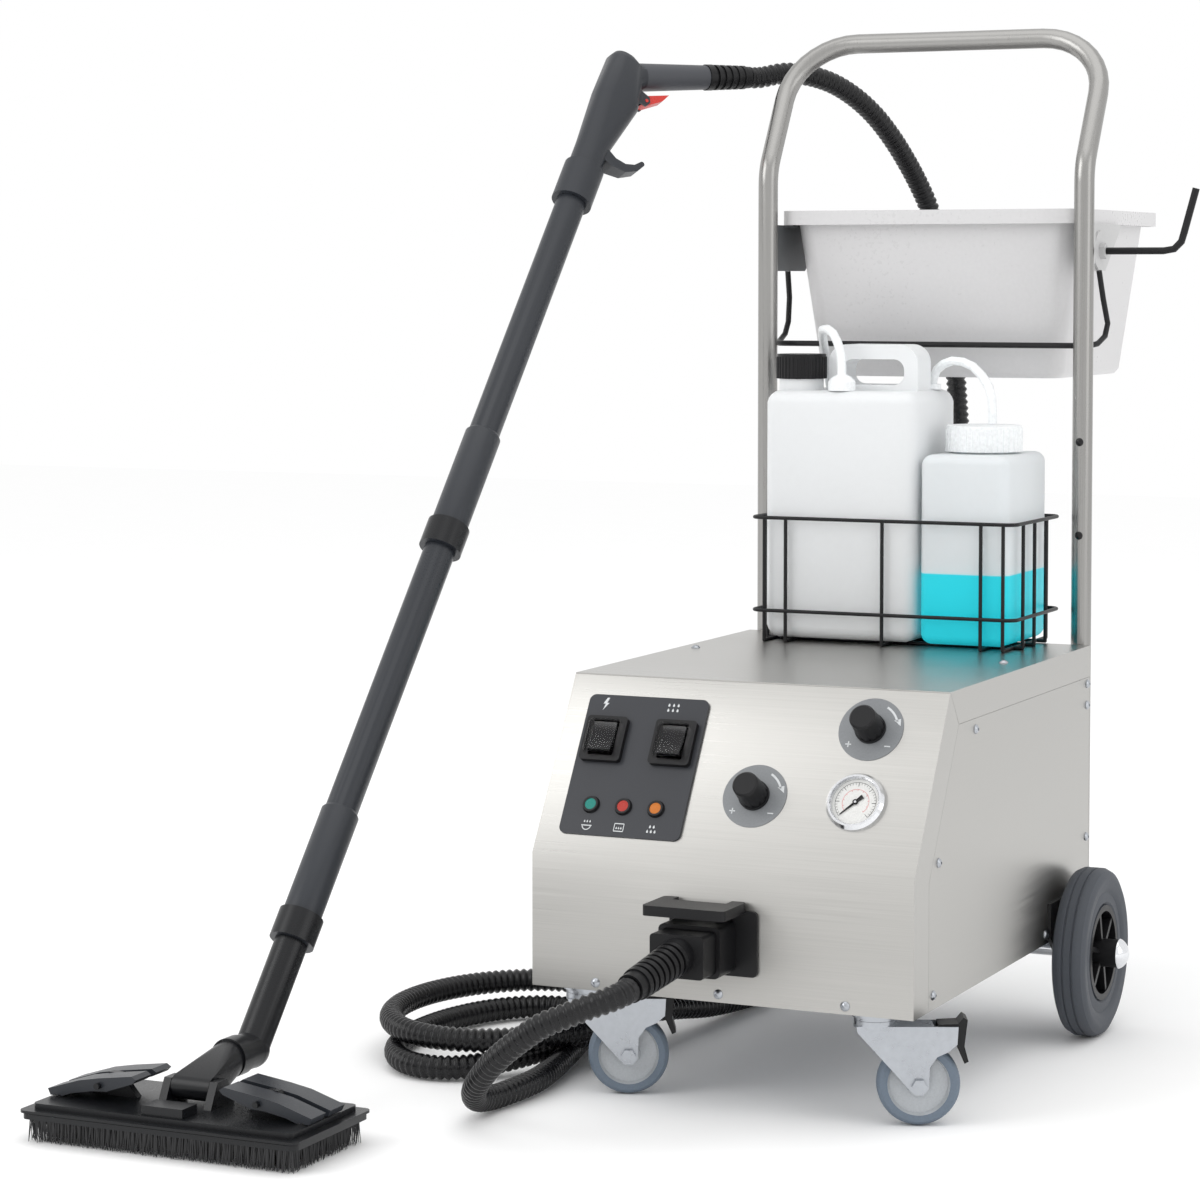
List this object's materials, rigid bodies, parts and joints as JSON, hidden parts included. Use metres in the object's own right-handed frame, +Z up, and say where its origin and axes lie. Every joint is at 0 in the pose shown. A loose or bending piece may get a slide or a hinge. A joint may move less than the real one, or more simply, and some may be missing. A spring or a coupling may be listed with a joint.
{
  "type": "steam cleaner",
  "caption": "Wheeled steam cleaner with a brushed steel body, pushing handle, mop bucket, two liquid containers, steam hose and a long wand with a floor brush.",
  "frame": {"origin": "on the floor, under the middle of the machine and its wand together, the hose left out", "axes": "+Y from the front panel towards the bucket, +Z up, +X to the right seen from the front"},
  "size_m": [0.8457, 1.3634, 1.086],
  "materials": {
    "brushed_steel": "satin, brushed along one way",
    "zinc": "bright zinc plate",
    "black_plastic": "matte",
    "hose_rubber": "satin, ribbed",
    "black_metal": "satin powder coat",
    "panel_grey": "satin",
    "lamp_lens": "gloss",
    "gauge_chrome": "polished",
    "clear_glass": "clear",
    "castor_tread": "matte",
    "rear_tyre": "matte",
    "bucket_grey": "satin",
    "bracket_paint": "satin",
    "milky_plastic": "translucent, satin",
    "valve_brass": "machined",
    "wand_plastic": "fine texture",
    "trigger_red": "satin",
    "brush_plastic": "satin",
    "bristle_nylon": "fibres"
  },
  "bodies": {
    "machine": {"base_tray": "zinc", "axle_brackets": "black_metal", "front_panel": "brushed_steel", "top_cover": "brushed_steel", "side_panel_left": "brushed_steel", "side_panel_right": "brushed_steel", "rear_panel": "brushed_steel", "cover_screws": "zinc", "control_panel": "panel_grey", "switch_frames": "black_plastic", "pilot_lamps": "lamp_lens", "knob_dials": "panel_grey", "gauge_case": "gauge_chrome", "gauge_glass": "clear_glass", "steam_socket": "black_plastic", "hose_plug": "black_plastic", "steam_hose": "hose_rubber", "cable_gland": "black_plastic", "castor_plates": "zinc", "rear_axle": "zinc", "handle_frame": "brushed_steel", "bucket_brackets": "bracket_paint", "bracket_rods": "black_metal", "wire_basket": "black_metal", "water_can": "milky_plastic", "detergent_bottle": "milky_plastic", "bottle_cap": "milky_plastic", "suction_tubes": "milky_plastic", "boiler": "brushed_steel", "pump": "black_plastic", "solenoid_valve": "valve_brass"},
    "castor_left": {"castor_fork_left": "zinc"},
    "castor_right": {"castor_fork_right": "zinc"},
    "wheel_front_left": {"castor_wheel_left": "castor_tread"},
    "wheel_front_right": {"castor_wheel_right": "castor_tread"},
    "pedal_left": {"brake_pedal_left": "black_plastic"},
    "pedal_right": {"brake_pedal_right": "black_plastic"},
    "wheel_rear_left": {"rear_wheel_left": "rear_tyre"},
    "wheel_rear_right": {"rear_wheel_right": "rear_tyre"},
    "power_switch": {"power_rocker": "black_plastic"},
    "steam_switch": {"steam_rocker": "black_plastic"},
    "knob_steam": {"steam_knob": "black_plastic"},
    "knob_detergent": {"detergent_knob": "black_plastic"},
    "needle": {"gauge_needle": "black_metal"},
    "flap": {"socket_flap": "black_plastic"},
    "can_cap": {"water_can_cap": "black_plastic"},
    "mop_bucket": {"bucket": "bucket_grey"},
    "wand": {"gun_body": "wand_plastic", "hose_cuff": "black_plastic", "lance_upper": "wand_plastic", "lance_middle": "wand_plastic", "lance_lower": "wand_plastic"},
    "gun_trigger": {"trigger": "trigger_red"},
    "neck": {"brush_neck": "brush_plastic"},
    "brush": {"brush_base": "brush_plastic", "bristles": "bristle_nylon"},
    "lever_front_left": {"clamp_lever_front_left": "wand_plastic"},
    "lever_front_right": {"clamp_lever_front_right": "wand_plastic"},
    "lever_rear_left": {"clamp_lever_rear_left": "wand_plastic"},
    "lever_rear_right": {"clamp_lever_rear_right": "wand_plastic"}
  },
  "joints": [
    {"name": "castor_left_swivel", "type": "hinge", "parent": "machine", "child": "castor_left", "pos_m": [-0.023, -0.2415, 0.097], "axis": [0, 0, 1], "continuous": true},
    {"name": "castor_left_roll", "type": "hinge", "parent": "castor_left", "child": "wheel_front_left", "pos_m": [0.01537, -0.22442, 0.04], "axis": [-0.4067, 0.9135, 0], "continuous": true},
    {"name": "brake_left", "type": "hinge", "parent": "castor_left", "child": "pedal_left", "pos_m": [0.03729, -0.21466, 0.095], "axis": [-0.4067, 0.9135, 0], "range_deg": [0, 5]},
    {"name": "wheel_left_roll", "type": "hinge", "parent": "machine", "child": "wheel_rear_left", "pos_m": [-0.098, 0.2205, 0.0895], "axis": [1, 0, 0], "continuous": true},
    {"name": "castor_right_swivel", "type": "hinge", "parent": "machine", "child": "castor_right", "pos_m": [0.281, -0.2415, 0.097], "axis": [0, 0, 1], "continuous": true},
    {"name": "castor_right_roll", "type": "hinge", "parent": "castor_right", "child": "wheel_front_right", "pos_m": [0.31937, -0.22442, 0.04], "axis": [-0.4067, 0.9135, 0], "continuous": true},
    {"name": "brake_right", "type": "hinge", "parent": "castor_right", "child": "pedal_right", "pos_m": [0.34129, -0.21466, 0.095], "axis": [-0.4067, 0.9135, 0], "range_deg": [0, 5]},
    {"name": "wheel_right_roll", "type": "hinge", "parent": "machine", "child": "wheel_rear_right", "pos_m": [0.356, 0.2205, 0.0895], "axis": [1, 0, 0], "continuous": true},
    {"name": "power_switch_rock", "type": "hinge", "parent": "machine", "child": "power_switch", "pos_m": [-0.0195, -0.20679, 0.34925], "axis": [1, 0, 0], "range_deg": [0, 12]},
    {"name": "steam_switch_rock", "type": "hinge", "parent": "machine", "child": "steam_switch", "pos_m": [0.0555, -0.20679, 0.34925], "axis": [1, 0, 0], "range_deg": [0, 12]},
    {"name": "steam_knob_turn", "type": "hinge", "parent": "machine", "child": "knob_steam", "pos_m": [0.151, -0.22658, 0.30511], "axis": [0, -0.8548, 0.519], "range_deg": [0, 270]},
    {"name": "detergent_knob_turn", "type": "hinge", "parent": "machine", "child": "knob_detergent", "pos_m": [0.256, -0.18636, 0.37135], "axis": [0, -0.8548, 0.519], "range_deg": [0, 270]},
    {"name": "needle_turn", "type": "hinge", "parent": "machine", "child": "needle", "pos_m": [0.256, -0.22914, 0.30667], "axis": [0, 0.8548, -0.519], "range_deg": [0, 270], "stiffness_Nm_per_rad": 0.002},
    {"name": "flap_lift", "type": "hinge", "parent": "machine", "child": "flap", "pos_m": [0.117, -0.2735, 0.204], "axis": [-1, 0, 0], "range_deg": [0, 55], "stiffness_Nm_per_rad": 0.03, "springref_deg": -28.65},
    {"name": "can_cap_turn", "type": "hinge", "parent": "machine", "child": "can_cap", "pos_m": [0.0164, 0.2359, 0.7153], "axis": [0, 0, 1], "range_deg": [0, 350]},
    {"name": "bucket_lift", "type": "slide", "parent": "machine", "child": "mop_bucket", "axis": [0, 0, 1], "range_m": [0, 0.05]},
    {"name": "wand_lift", "type": "slide", "parent": "machine", "child": "wand", "axis": [0, 0, 1], "range_m": [0, 0.15], "deforming": ["steam_hose"]},
    {"name": "trigger_pull", "type": "hinge", "parent": "wand", "child": "gun_trigger", "pos_m": [-0.19009, 0.26708, 1.00498], "axis": [0.7662, -0.5365, 0.3538], "range_deg": [0, 8], "stiffness_Nm_per_rad": 0.3, "springref_deg": -20.05},
    {"name": "neck_swivel", "type": "hinge", "parent": "wand", "child": "neck", "pos_m": [-0.273, -0.4705, 0.066], "axis": [0, 1, 0], "range_deg": [-40, 40]},
    {"name": "brush_tilt", "type": "hinge", "parent": "neck", "child": "brush", "pos_m": [-0.273, -0.5715, 0.051], "axis": [1, 0, 0], "range_deg": [-20, 5]},
    {"name": "lever_front_left_press", "type": "hinge", "parent": "brush", "child": "lever_front_left", "pos_m": [-0.359, -0.5915, 0.051], "axis": [0, 1, 0], "range_deg": [0, 10], "stiffness_Nm_per_rad": 0.6, "springref_deg": -22.92},
    {"name": "lever_rear_left_press", "type": "hinge", "parent": "brush", "child": "lever_rear_left", "pos_m": [-0.359, -0.5555, 0.051], "axis": [0, 1, 0], "range_deg": [0, 10], "stiffness_Nm_per_rad": 0.6, "springref_deg": -22.92},
    {"name": "lever_front_right_press", "type": "hinge", "parent": "brush", "child": "lever_front_right", "pos_m": [-0.187, -0.5915, 0.051], "axis": [0, -1, 0], "range_deg": [0, 10], "stiffness_Nm_per_rad": 0.6, "springref_deg": -22.92},
    {"name": "lever_rear_right_press", "type": "hinge", "parent": "brush", "child": "lever_rear_right", "pos_m": [-0.187, -0.5555, 0.051], "axis": [0, -1, 0], "range_deg": [0, 10], "stiffness_Nm_per_rad": 0.6, "springref_deg": -22.92}
  ]
}
